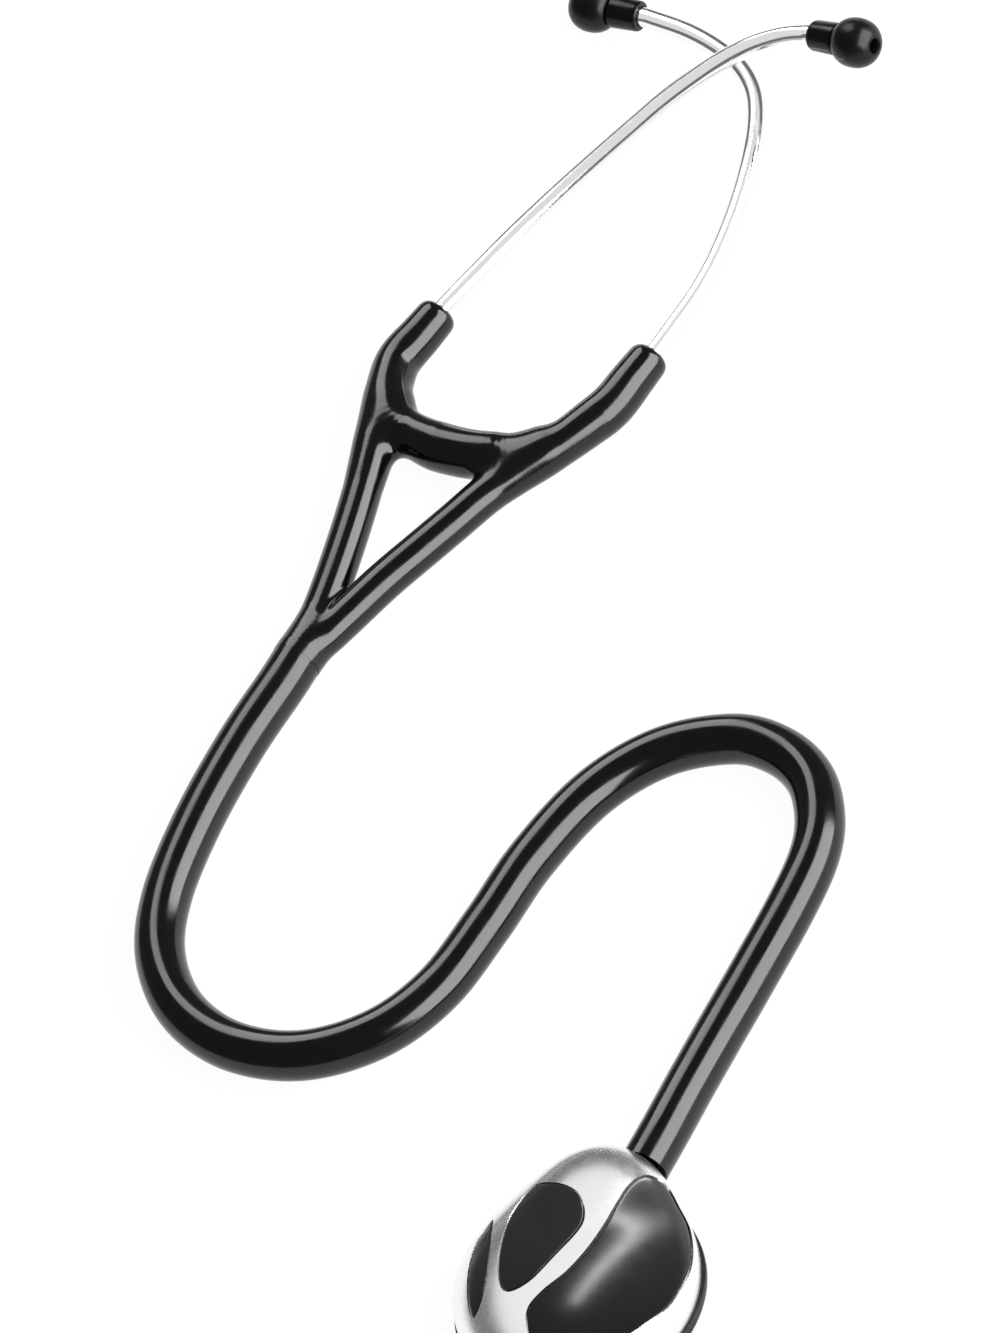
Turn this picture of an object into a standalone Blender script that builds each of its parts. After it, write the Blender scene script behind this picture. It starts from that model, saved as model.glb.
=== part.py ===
"""Single-head acoustic stethoscope with a split two-branch headset, lying on a flat surface.

The chestpiece rests on its diaphragm at the origin, +Z is up and +Y runs towards the ear tips.
Lengths below are in millimetres and degrees, and are turned into metres where meshes are made.
"""
import math

import bmesh
import bpy
from mathutils import Matrix, Vector

MM = 0.001
GAP = 0.3                     # clearance between two touching pieces

# Chestpiece
RIM_RADIUS = 25.1             # round part of the rim
RIM_HEIGHT = 4.0              # underside of the metal body
DOME_HEIGHT = 15.5            # crown above the rim
NECK_REACH = 4.9              # how far the neck stands out past the round rim
NECK_ANGLE = 74.0             # middle of the neck's swelling, seen from above
NECK_SPREAD = 30.0
SHOULDER_ANGLE = 80.0         # middle of the squarer shoulder above the neck
SHOULDER_SPREAD = 30.0
CROWN_POWER = 2.0             # superellipse power away from the neck
SHOULDER_POWER = 1.7          # extra power at the shoulder
INLAY_DEPTH = 1.4
SECTORS = 48                  # facets round the chestpiece
LIP_RADIUS = 21.4             # edge of the metal underside, inside the rim ring
BELL_PROFILE = [(21.4, 2.7), (19.4, 2.7), (19.2, 3.6), (2.4, 5.4)]
BELL_TOP = 9.0                # top of the hollow above the diaphragm
RING_RADIUS = 25.0            # rubber rim ring round the diaphragm
RING_MOUTH = 21.0
RING_CHAMFER_HEIGHT = 2.2
SURROUND_RADII = (20.3, 20.7)
SURROUND_TOP = 2.4
DIAPHRAGM_RADIUS = 20.0
DIAPHRAGM_THICKNESS = 0.5
DIAPHRAGM_TRAVEL = 0.8

# Stem, the metal spout that the hose butts against
STEM_ANGLE = 66.0
STEM_HEIGHT = 7.5
STEM_INNER_END = 7.0
HOSE_START = 28.6             # distance of the hose's end from the chestpiece's centre
STEM_RADIUS = 2.3
STEM_BORE = 1.5

# Tubing
HOSE_RADIUS = 5.0
BRANCH_RADIUS = 4.0
HOSE_ROUTE = [
    (11.63, 26.13, 7.5), (15.1, 35.0, 7.2), (19.0, 46.5, 6.2), (23.4, 58.6, 5.3), (28.0, 70.0, 5.0),
    (35.1, 87.6, 5.0), (38.7, 99.5, 5.0), (38.9, 109.0, 5.0), (36.0, 118.3, 5.0), (29.3, 125.5, 5.0),
    (19.6, 129.4, 5.0), (5.3, 127.8, 5.0), (-7.9, 119.4, 5.0), (-19.0, 104.8, 5.0),
    (-26.8, 89.8, 5.0), (-35.4, 75.4, 5.0), (-46.8, 66.0, 5.0), (-61.6, 62.4, 5.0),
    (-76.2, 66.2, 5.0), (-87.2, 75.8, 5.0), (-93.0, 89.2, 5.0), (-93.2, 103.6, 5.0),
    (-88.7, 121.1, 5.0), (-81.6, 139.0, 5.0), (-74.6, 152.8, 5.0), (-72.1, 158.1, 5.0),
]
Y_STEM = [(-71.95, 158.42, 5.0), (-70.27, 161.99, 5.0), (-68.4, 165.9, 5.0)]
Y_LEFT = [(-71.1, 162.3, 5.0), (-68.48, 168.48, 5.0), (-66.51, 176.29, 5.0), (-65.65, 180.6, 5.0)]
Y_RIGHT = [(-69.9, 160.0, 5.0), (-66.2, 164.15, 5.0), (-62.53, 168.26, 5.0), (-56.2, 175.36, 5.0)]
LEFT_BRANCH = [
    (-65.58, 180.95, 5.0), (-64.65, 185.49, 5.0), (-63.3, 193.02, 5.0),
    (-62.1, 200.8, 5.0), (-61.7, 203.57, 5.0),
]
RIGHT_BRANCH = [
    (-55.93, 175.66, 5.0), (-54.0, 177.8, 5.0), (-48.2, 183.35, 5.0),
    (-42.53, 188.91, 5.0), (-39.0, 192.4, 5.0),
]

# Headset: yoke, sleeves and the pivots that stand for the spring's flex
YOKE_BAR = [
    (-60.6, 215.6, 5.0), (-54.6, 211.4, 5.0), (-47.3, 207.6, 5.0), (-39.0, 205.0, 5.0),
    (-31.0, 204.0, 5.0), (-24.0, 204.8, 5.0),
]
YOKE_LEFT_SHOULDER = [(-61.65, 203.92, 5.0), (-61.0, 208.5, 5.0), (-60.1, 215.5, 5.0), (-59.4, 222.0, 5.0)]
YOKE_RIGHT_SHOULDER = [
    (-38.74, 192.67, 5.0), (-36.73, 194.65, 5.0), (-31.47, 198.7, 5.0),
    (-25.4, 203.0, 5.0), (-17.6, 209.3, 5.0),
]
YOKE_RADIUS = 4.8
YOKE_SPRING = [
    (-60.0, 215.4, 5.0), (-54.4, 211.6, 5.0), (-47.3, 208.0, 5.0), (-39.0, 205.4, 5.0),
    (-31.0, 204.6, 5.0), (-20.0, 206.6, 5.0),
]
KNUCKLE_RADIUS = 4.9
KNUCKLE_HALF_HEIGHT = 4.2
KNUCKLE_ROOM = 10.0           # reach of the cutters that clear the space round a knuckle
SPRING_THICKNESS = 0.8
SPRING_HALF_WIDTH = 3.0
SLEEVE_RADIUS = 4.4
SLEEVE_LIP = 3.0              # length of the narrow mouth of a sleeve's bore
SOCKET_LENGTH = 12.0
SOCKET_RADIUS = 3.1
EAR_TUBE_RADIUS = 2.0
EAR_TUBE_BORE = 1.3

SIDES = {
    "left": {
        "pivot": (-59.4, 222.0, 5.0),
        "mouth": (-50.0, 241.2, 5.2),
        "heading": 54.0,
        "pitch": 3.0,
        "route": [
            (-42.9, 249.5, 5.9), (-35.2, 257.4, 7.2), (-24.1, 266.9, 9.6), (-12.5, 275.5, 12.6),
            (-5.6, 280.1, 14.6), (1.5, 284.0, 16.5), (7.2, 286.5, 18.0), (12.4, 287.9, 19.4),
            (16.7, 288.4, 20.4), (20.9, 288.2, 21.4),
        ],
        "collar": (26.9, 286.7, 22.6),
        "tip_heading": -25.0,
        "tip_pitch": 10.5,
    },
    "right": {
        "pivot": (-17.6, 209.3, 5.0),
        "mouth": (-5.4, 225.6, 5.0),
        "heading": 58.0,
        "pitch": 0.0,
        "route": [
            (-1.6, 232.2, 5.0), (2.0, 239.0, 4.9), (5.0, 246.6, 4.8), (7.4, 255.0, 4.8),
            (9.2, 263.6, 4.8), (10.3, 272.2, 4.8), (10.6, 280.2, 4.8), (9.5, 287.6, 4.8),
            (6.2, 294.2, 4.8), (1.0, 299.6, 4.8), (-5.6, 304.4, 4.9),
        ],
        "collar": (-15.6, 309.3, 5.0),
        "tip_heading": 161.0,
        "tip_pitch": 0.0,
    },
}

# Ear tips, lengths along their axis from the collar's open end
COLLAR_LENGTH = 6.5
COLLAR_RADIUS = 3.3
SPIGOT_END = 11.0
SPIGOT_RADIUS = 2.2
TIP_LENGTH = 15.4
TIP_RADIUS = 5.0
TIP_BORE = 1.4
TUBE_IN_COLLAR = 5.0

# Inlays: smooth closed outlines seen from above
OVAL_INLAY = [
    (-6.8, 17.8), (-3.9, 17.0), (0.4, 15.0), (3.2, 12.4), (4.7, 8.3), (4.1, 4.2), (-0.3, -1.8),
    (-5.1, -6.7), (-9.8, -8.0), (-12.0, -5.2), (-12.7, 1.4), (-11.8, 10.6), (-9.4, 16.0),
]
BROAD_INLAY = [
    (14.6, 19.2), (12.2, 15.6), (10.5, 11.0), (8.5, 5.4), (5.7, -0.6), (2.0, -5.5), (-2.6, -9.0),
    (-5.6, -12.0), (-5.9, -15.6), (-4.4, -19.2), (0.0, -21.4), (6.0, -21.0), (11.6, -18.4),
    (16.6, -14.5), (20.9, -9.6), (23.4, -3.0), (23.9, 3.0), (22.6, 9.8), (20.2, 14.8), (17.6, 19.2),
]
SIDE_INLAY = [
    (-15.9, 12.6), (-17.4, 10.8), (-19.0, 7.4), (-19.8, 1.2), (-19.6, -4.5), (-18.6, -9.6),
    (-17.3, -10.0), (-15.5, -7.0), (-14.7, -1.0), (-15.0, 6.0),
]


def clear_scene():
    for obj in list(bpy.data.objects):
        bpy.data.objects.remove(obj)


def make_material(name, colour, roughness, metallic):
    material = bpy.data.materials.new(name)
    material.use_nodes = True
    shader = material.node_tree.nodes["Principled BSDF"]
    shader.inputs["Base Color"].default_value = (*colour, 1.0)
    shader.inputs["Roughness"].default_value = roughness
    shader.inputs["Metallic"].default_value = metallic
    return material


def add_object(name, data, material=None):
    obj = bpy.data.objects.new(name, data)
    bpy.context.scene.collection.objects.link(obj)
    if material is not None:
        data.materials.append(material)
    return obj


def make_cutter(obj):
    obj.hide_render = True
    obj.display_type = "WIRE"
    return obj


def combine(obj, other, operation):
    boolean = obj.modifiers.new(operation.lower() + "_" + other.name, "BOOLEAN")
    boolean.operation = operation
    boolean.solver = "EXACT"
    boolean.object = other
    return obj


def finish_mesh(name, bm):
    bmesh.ops.recalc_face_normals(bm, faces=bm.faces)
    mesh = bpy.data.meshes.new(name)
    bm.to_mesh(mesh)
    bm.free()
    mesh.shade_smooth()
    mesh.set_sharp_from_angle(angle=math.radians(35.0))
    return mesh


def direction(heading, pitch=0.0):
    """Unit vector at a heading in the ground plane, raised by a pitch."""
    flat = math.cos(math.radians(pitch))
    return Vector((flat * math.cos(math.radians(heading)),
                   flat * math.sin(math.radians(heading)),
                   math.sin(math.radians(pitch))))


def catmull_rom(a, b, c, d, t):
    return 0.5 * (2.0 * b + (c - a) * t + (2.0 * a - 5.0 * b + 4.0 * c - d) * t * t
                  + (3.0 * b - a - 3.0 * c + d) * t * t * t)


def smooth_path(points, step, closed=False):
    """Points about one step apart on a smooth curve through the given points."""
    points = [Vector(p) for p in points]
    if closed:
        padded = [points[-1]] + points + [points[0], points[1]]
    else:
        padded = [2 * points[0] - points[1]] + points + [2 * points[-1] - points[-2]]
    dense = []
    for i in range(len(padded) - 3):
        for k in range(24):
            dense.append(catmull_rom(*padded[i:i + 4], k / 24))
    dense.append(padded[-2])
    lengths = [0.0]
    for a, b in zip(dense, dense[1:]):
        lengths.append(lengths[-1] + (b - a).length)
    count = max(2, round(lengths[-1] / step))
    path = []
    j = 0
    for k in range(count + 1):
        target = lengths[-1] * k / count
        while j < len(dense) - 2 and lengths[j + 1] < target:
            j += 1
        span = lengths[j + 1] - lengths[j]
        path.append(dense[j].lerp(dense[j + 1], (target - lengths[j]) / span))
    return path[:-1] if closed else path


def add_tube(name, path, radius, material=None, resolution=3, radii=None):
    """Round rod along a path; radii are factors of the radius at evenly spread stations."""
    curve = bpy.data.curves.new(name, "CURVE")
    curve.dimensions = "3D"
    curve.bevel_depth = radius * MM
    curve.bevel_resolution = resolution
    curve.use_fill_caps = True
    spline = curve.splines.new("POLY")
    spline.points.add(len(path) - 1)
    for i, point in enumerate(path):
        spline.points[i].co = (*(point * MM), 1.0)
        if radii:
            place = i / (len(path) - 1) * (len(radii) - 1)
            low = min(int(place), len(radii) - 2)
            spline.points[i].radius = radii[low] + (radii[low + 1] - radii[low]) * (place - low)
    return add_object(name, curve, material)


def add_solid_tube(name, path, radius, material=None, resolution=3, radii=None):
    """The same rod as a mesh, for Boolean work."""
    guide = add_tube(name + "_guide", path, radius, None, resolution, radii)
    evaluated = guide.evaluated_get(bpy.context.evaluated_depsgraph_get())
    bm = bmesh.new()
    bm.from_mesh(evaluated.to_mesh())
    bmesh.ops.remove_doubles(bm, verts=bm.verts, dist=1e-7)
    bpy.data.objects.remove(guide)
    return add_object(name, finish_mesh(name, bm), material)


def turned_mesh(name, profile, steps=32, closed=True):
    """Solid of revolution about Z from (radius, height) points."""
    bm = bmesh.new()
    verts = [bm.verts.new((r * MM, 0.0, z * MM)) for r, z in profile]
    pairs = list(zip(verts, verts[1:] + verts[:1])) if closed else list(zip(verts, verts[1:]))
    edges = [bm.edges.new(pair) for pair in pairs]
    bmesh.ops.spin(bm, geom=verts + edges, cent=(0, 0, 0), axis=(0, 0, 1),
                   angle=2 * math.pi, steps=steps, use_merge=True)
    bmesh.ops.remove_doubles(bm, verts=bm.verts, dist=1e-7)
    return finish_mesh(name, bm)


def along(origin, axis):
    """Matrix that takes +Z to an axis and the origin to a point in millimetres."""
    turn = Vector(axis).to_track_quat("Z", "Y").to_matrix().to_4x4()
    return Matrix.Translation(Vector(origin) * MM) @ turn


def add_turned(name, profile, origin, axis, material=None, steps=32, closed=True):
    obj = add_object(name, turned_mesh(name, profile, steps, closed), material)
    obj.matrix_world = along(origin, axis)
    return obj


def rod_profile(radius, low, high):
    return [(0.0, low), (radius, low), (radius, high), (0.0, high)]


def angle_weight(angle, middle, spread):
    offset = (angle - middle + 180.0) % 360.0 - 180.0
    return math.exp(-(offset / spread) ** 2)


def rim_radius(angle, shrink):
    return RIM_RADIUS - shrink + NECK_REACH * angle_weight(angle, NECK_ANGLE, NECK_SPREAD)


def dome_point(angle, fraction, shrink=0.0, drop=0.0):
    """Point on the dome at a fraction of the way from its centre out to the rim."""
    radius = fraction * rim_radius(angle, shrink)
    power = CROWN_POWER + SHOULDER_POWER * angle_weight(angle, SHOULDER_ANGLE, SHOULDER_SPREAD)
    rise = max(0.0, 1.0 - fraction ** power) ** (1.0 / power)
    turn = math.radians(angle)
    return Vector((radius * math.cos(turn), radius * math.sin(turn),
                   RIM_HEIGHT + (DOME_HEIGHT - drop) * rise))


def dome_rings(shrink, drop):
    fractions = [math.sin(math.radians(a)) for a in (12, 24, 36, 48, 59, 69, 77, 83, 87, 90)]
    rings = []
    for fraction in fractions:
        rings.append([dome_point(360.0 * k / SECTORS, fraction, shrink, drop) for k in range(SECTORS)])
    return rings


def ring_solid(name, rings, top, bottom):
    """Closed solid of rings of equal count, from a top point to a bottom point."""
    bm = bmesh.new()
    loops = [[bm.verts.new(p * MM) for p in ring] for ring in rings]
    count = len(loops[0])
    first = bm.verts.new(Vector(top) * MM)
    last = bm.verts.new(Vector(bottom) * MM)
    for k in range(count):
        n = (k + 1) % count
        bm.faces.new((first, loops[0][k], loops[0][n]))
        bm.faces.new((last, loops[-1][n], loops[-1][k]))
        for inner, outer in zip(loops, loops[1:]):
            bm.faces.new((inner[k], outer[k], outer[n], inner[n]))
    return finish_mesh(name, bm)


def circle_ring(radius, height):
    return [direction(360.0 * k / SECTORS) * radius + Vector((0.0, 0.0, height)) for k in range(SECTORS)]


def dome_form(name, shrink, drop):
    """Plain dome used to trim the inlays and their pockets."""
    rings = dome_rings(shrink, drop)
    base = RIM_HEIGHT - 1.0
    rings.append([Vector((p.x, p.y, base)) for p in rings[-1]])
    top = (0.0, 0.0, RIM_HEIGHT + DOME_HEIGHT - drop)
    return make_cutter(add_object(name, ring_solid(name, rings, top, (0.0, 0.0, base))))


def prism(name, outline, inset, low, high):
    """Upright prism on a smooth closed outline, drawn in by an inset."""
    path = smooth_path([(x, y, 0.0) for x, y in outline], 2.0, closed=True)
    count = len(path)
    rims = []
    for i, point in enumerate(path):
        run = (path[(i + 1) % count] - path[i - 1]).normalized()
        rims.append(point + Vector((-run.y, run.x, 0.0)) * inset)
    bm = bmesh.new()
    floor = [bm.verts.new((p + Vector((0, 0, low))) * MM) for p in rims]
    roof = [bm.verts.new((p + Vector((0, 0, high))) * MM) for p in rims]
    bm.faces.new(floor)
    bm.faces.new(roof)
    for i in range(count):
        n = (i + 1) % count
        bm.faces.new((floor[i], floor[n], roof[n], roof[i]))
    return finish_mesh(name, bm)


def signed_area(outline):
    return 0.5 * sum(a[0] * b[1] - b[0] * a[1] for a, b in zip(outline, outline[1:] + outline[:1]))


def build_chest_body(steel):
    """Metal body: domed top with inlay pockets, bell-shaped hollow below and a bore for the stem."""
    rings = dome_rings(0.0, 0.0)
    for radius, height in [(LIP_RADIUS, RIM_HEIGHT)] + BELL_PROFILE:
        rings.append(circle_ring(radius, height))
    mesh = ring_solid("chest_body", rings, (0.0, 0.0, RIM_HEIGHT + DOME_HEIGHT), (0.0, 0.0, BELL_TOP))
    body = add_object("chest_body", mesh, steel)
    axis = direction(STEM_ANGLE)
    stem_bore = add_turned("stem_bore", rod_profile(STEM_RADIUS + GAP, 0.0, 40.0),
                           (0.0, 0.0, STEM_HEIGHT), axis, steps=24, closed=False)
    combine(body, make_cutter(stem_bore), "DIFFERENCE")
    hose_seat = add_turned("hose_seat", rod_profile(HOSE_RADIUS + GAP + 0.1, HOSE_START - GAP, 40.0),
                           (0.0, 0.0, STEM_HEIGHT), axis, steps=24, closed=False)
    combine(body, make_cutter(hose_seat), "DIFFERENCE")
    return body


def build_inlays(body, gloss):
    """Glossy inlays let into the dome, flush with it, each in a pocket of its own."""
    skin = dome_form("dome_skin", 0.0, 0.0)
    inlay_floor = dome_form("inlay_floor", INLAY_DEPTH, INLAY_DEPTH)
    pocket_floor = dome_form("pocket_floor", INLAY_DEPTH + GAP, INLAY_DEPTH + GAP)
    outlines = {"oval_inlay": OVAL_INLAY, "broad_inlay": BROAD_INLAY, "side_inlay": SIDE_INLAY}
    for name, outline in outlines.items():
        inward = math.copysign(1.0, signed_area(outline))
        inlay = add_object(name, prism(name, outline, inward * GAP, 5.0, 24.0), gloss)
        combine(inlay, skin, "INTERSECT")
        combine(inlay, inlay_floor, "DIFFERENCE")
        pocket = make_cutter(add_object(name + "_pocket", prism(name + "_pocket", outline, 0.0, 4.9, 25.0)))
        combine(pocket, pocket_floor, "DIFFERENCE")
        combine(body, pocket, "DIFFERENCE")


def build_diaphragm_end(rubber, soft, plate):
    """Non-chill rim, flexible surround and the stiff diaphragm that floats in it."""
    outer = RING_RADIUS
    seat = LIP_RADIUS + GAP
    top = RIM_HEIGHT - GAP
    low = DIAPHRAGM_TRAVEL
    rim = [(seat, top), (outer, top), (outer, RING_CHAMFER_HEIGHT), (outer - 0.4, low + 0.4),
           (outer - 1.3, low), (RING_MOUTH, low), (RING_MOUTH, low + 0.6), (seat, low + 0.6)]
    add_turned("rim_ring", rim, (0, 0, 0), (0, 0, 1), rubber, steps=SECTORS)
    inner, fold = SURROUND_RADII
    surround = [(inner, low), (fold, low), (fold, low + 0.9), (LIP_RADIUS, low + 0.9),
                (LIP_RADIUS, SURROUND_TOP), (inner, SURROUND_TOP)]
    add_turned("surround", surround, (0, 0, 0), (0, 0, 1), soft, steps=SECTORS)
    edge = DIAPHRAGM_RADIUS
    disc = [(0.0, 0.0), (edge - 0.3, 0.0), (edge, 0.2), (edge, DIAPHRAGM_THICKNESS),
            (0.0, DIAPHRAGM_THICKNESS)]
    add_turned("diaphragm", disc, (0, 0, 0), (0, 0, 1), plate, steps=SECTORS, closed=False)


def build_stem(steel):
    """Metal spout from the bell to the hose, with a collar at its outer end."""
    end = HOSE_START - 2 * GAP
    profile = [(STEM_BORE, STEM_INNER_END), (STEM_RADIUS, STEM_INNER_END),
               (STEM_RADIUS, end), (STEM_BORE, end)]
    add_turned("stem", profile, (0.0, 0.0, STEM_HEIGHT), direction(STEM_ANGLE), steel, steps=24)


def build_tubing(pvc):
    """Hose, the Y where it divides, and the two branches."""
    add_tube("hose", smooth_path(HOSE_ROUTE, 7.5), HOSE_RADIUS, pvc, resolution=4)
    junction = add_solid_tube("y_junction", smooth_path(Y_STEM, 4.0), HOSE_RADIUS, pvc,
                              radii=[1.0, 1.0, 0.9])
    for name, path in (("y_left_arm", Y_LEFT), ("y_right_arm", Y_RIGHT)):
        arm = add_solid_tube(name, smooth_path(path, 4.0), BRANCH_RADIUS)
        combine(junction, make_cutter(arm), "UNION")
    add_tube("left_branch", smooth_path(LEFT_BRANCH, 6.0), BRANCH_RADIUS, pvc)
    add_tube("right_branch", smooth_path(RIGHT_BRANCH, 6.0), BRANCH_RADIUS, pvc)


def strip(name, path, half_width, thickness, material=None):
    """Flat strip standing on edge along a level path."""
    bm = bmesh.new()
    loops = []
    for i, point in enumerate(path):
        before = path[max(i - 1, 0)]
        after = path[min(i + 1, len(path) - 1)]
        run = (after - before).normalized()
        side = Vector((-run.y, run.x, 0.0)) * thickness / 2
        rise = Vector((0.0, 0.0, half_width))
        corners = (point - side - rise, point + side - rise, point + side + rise, point - side + rise)
        loops.append([bm.verts.new(corner * MM) for corner in corners])
    bm.faces.new(loops[0])
    bm.faces.new(loops[-1])
    for a, b in zip(loops, loops[1:]):
        for k in range(4):
            bm.faces.new((a[k], a[(k + 1) % 4], b[(k + 1) % 4], b[k]))
    return add_object(name, finish_mesh(name, bm), material)


def build_yoke(pvc, steel):
    """Moulded yoke between the branches, hollow for the leaf spring, with a socket at each pivot."""
    yoke = add_solid_tube("yoke_cover", smooth_path(YOKE_BAR, 6.0), YOKE_RADIUS, pvc,
                          radii=[0.95, 0.95, 1.0, 0.98, 0.9, 0.8])
    slim = BRANCH_RADIUS / YOKE_RADIUS
    shoulders = (("left_shoulder", YOKE_LEFT_SHOULDER, [slim, 0.94, 1.0]),
                 ("right_shoulder", YOKE_RIGHT_SHOULDER, [slim, 0.86, 0.92, 1.0]))
    for name, points, factors in shoulders:
        shoulder = add_solid_tube(name, smooth_path(points, 6.0), YOKE_RADIUS, radii=factors)
        combine(yoke, make_cutter(shoulder), "UNION")
    for side, spec in SIDES.items():
        room = rod_profile(KNUCKLE_RADIUS + GAP, -KNUCKLE_ROOM, KNUCKLE_ROOM)
        cutter = add_turned(side + "_pivot_socket", room, spec["pivot"], (0, 0, 1), closed=False)
        combine(yoke, make_cutter(cutter), "DIFFERENCE")
    spring_path = smooth_path(YOKE_SPRING, 4.0)
    slot = strip("spring_slot", spring_path, SPRING_HALF_WIDTH + GAP, SPRING_THICKNESS + 2 * GAP)
    combine(yoke, make_cutter(slot), "DIFFERENCE")
    strip("yoke_spring", spring_path[1:-1], SPRING_HALF_WIDTH, SPRING_THICKNESS, steel)


def build_arm(side, pvc, steel):
    """Sleeve that turns about its pivot, with the steel socket that holds the ear tube."""
    spec = SIDES[side]
    axis = direction(spec["heading"], spec["pitch"])
    mouth = Vector(spec["mouth"])
    pivot = Vector(spec["pivot"])
    inner = mouth - axis * (SOCKET_LENGTH + 2.0)
    path = smooth_path([pivot, pivot.lerp(inner, 0.5), inner, inner.lerp(mouth, 0.5), mouth], 1.6)
    sleeve = add_solid_tube(side + "_sleeve", path, SLEEVE_RADIUS, pvc,
                            radii=[1.06, 1.06, 1.04, 1.02, 1.0, 1.0, 1.0, 0.99, 0.96, 0.84])
    knuckle = add_turned(side + "_knuckle",
                         rod_profile(KNUCKLE_RADIUS, -KNUCKLE_HALF_HEIGHT, KNUCKLE_HALF_HEIGHT),
                         pivot, (0, 0, 1), steps=32, closed=False)
    combine(sleeve, make_cutter(knuckle), "UNION")
    wide = SOCKET_RADIUS + GAP
    narrow = EAR_TUBE_RADIUS + GAP
    deep = -SLEEVE_LIP - SOCKET_LENGTH
    past = 2.0
    bore = [(0.0, deep), (wide, deep), (wide, -SLEEVE_LIP), (narrow, -SLEEVE_LIP),
            (narrow, past), (0.0, past)]
    cutter = add_turned(side + "_bore", bore, mouth, axis, steps=22, closed=False)
    combine(sleeve, make_cutter(cutter), "DIFFERENCE")
    low = deep + GAP
    high = -SLEEVE_LIP - GAP
    socket = [(narrow, low), (SOCKET_RADIUS, low), (SOCKET_RADIUS, high), (narrow, high)]
    add_turned(side + "_tube_socket", socket, mouth, axis, steel, steps=20)
    return sleeve


def tip_axis(spec):
    return direction(spec["tip_heading"], spec["tip_pitch"])


def ear_tube_path(spec):
    axis = direction(spec["heading"], spec["pitch"])
    mouth = Vector(spec["mouth"])
    foot = mouth - axis * (SLEEVE_LIP + SOCKET_LENGTH - 2.0)
    collar = Vector(spec["collar"])
    end = tip_axis(spec)
    bend = smooth_path([mouth + axis * 1.0] + spec["route"] + [collar - end * 1.5], 4.0)
    return [foot, mouth - axis * 2.0] + bend + [collar + end * TUBE_IN_COLLAR]


def build_ear_tube(side, steel):
    """Bent steel tube, straight where it sits in its socket and in the ear tip."""
    spec = SIDES[side]
    path = ear_tube_path(spec)
    tube = add_solid_tube(side + "_ear_tube", path, EAR_TUBE_RADIUS, steel, resolution=2)
    first = path[0] + (path[0] - path[1]).normalized()
    last = path[-1] + (path[-1] - path[-2]).normalized()
    bore = add_solid_tube(side + "_tube_bore", [first] + path[1:-1] + [last], EAR_TUBE_BORE, resolution=2)
    combine(tube, make_cutter(bore), "DIFFERENCE")


def build_ear_tip(side, plastic, soft):
    """Hard collar on the tube's end and the soft mushroom tip that fits over its spigot."""
    spec = SIDES[side]
    fit = EAR_TUBE_RADIUS + GAP
    seat = TUBE_IN_COLLAR + GAP
    front = COLLAR_LENGTH
    collar = [(fit, 0.0), (COLLAR_RADIUS - 0.5, 0.0), (COLLAR_RADIUS, 0.6), (COLLAR_RADIUS, front - 0.4),
              (COLLAR_RADIUS - 0.4, front), (SPIGOT_RADIUS, front), (SPIGOT_RADIUS, SPIGOT_END),
              (TIP_BORE, SPIGOT_END), (TIP_BORE, seat), (fit, seat)]
    add_turned(side + "_tip_collar", collar, spec["collar"], tip_axis(spec), plastic, steps=20)
    socket = SPIGOT_RADIUS + GAP
    dome = [(socket, front + GAP), (3.4, front + GAP), (4.2, 7.6), (4.8, 8.8), (TIP_RADIUS, 10.2),
            (4.9, 11.8), (4.3, 13.4), (3.2, 14.7), (2.0, 15.3), (1.6, TIP_LENGTH), (TIP_BORE, 15.2),
            (TIP_BORE, SPIGOT_END + GAP), (socket, SPIGOT_END + GAP)]
    add_turned(side + "_ear_tip", dome, spec["collar"], tip_axis(spec), soft, steps=20)


def main():
    clear_scene()
    steel = make_material("steel", (0.78, 0.78, 0.79), 0.22, 1.0)
    gloss = make_material("gloss_black", (0.03, 0.03, 0.032), 0.12, 0.0)
    pvc = make_material("black_pvc", (0.012, 0.012, 0.013), 0.25, 0.0)
    rubber = make_material("black_rubber", (0.02, 0.02, 0.02), 0.5, 0.0)
    soft = make_material("surround_rubber", (0.05, 0.05, 0.05), 0.6, 0.0)
    plate = make_material("diaphragm_plate", (0.55, 0.56, 0.57), 0.35, 0.0)
    body = build_chest_body(steel)
    build_inlays(body, gloss)
    build_diaphragm_end(rubber, soft, plate)
    build_stem(steel)
    build_tubing(pvc)
    build_yoke(pvc, steel)
    for side in SIDES:
        build_arm(side, pvc, steel)
        build_ear_tube(side, steel)
        build_ear_tip(side, rubber, soft)


main()
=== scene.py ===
"""Looks of a single-head acoustic stethoscope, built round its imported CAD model.

Lengths here are in millimetres, in the CAD model's frame, and become metres where meshes are made.
"""
import math

import bmesh
import bpy
import numpy as np
from mathutils import Matrix, Vector


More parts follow.
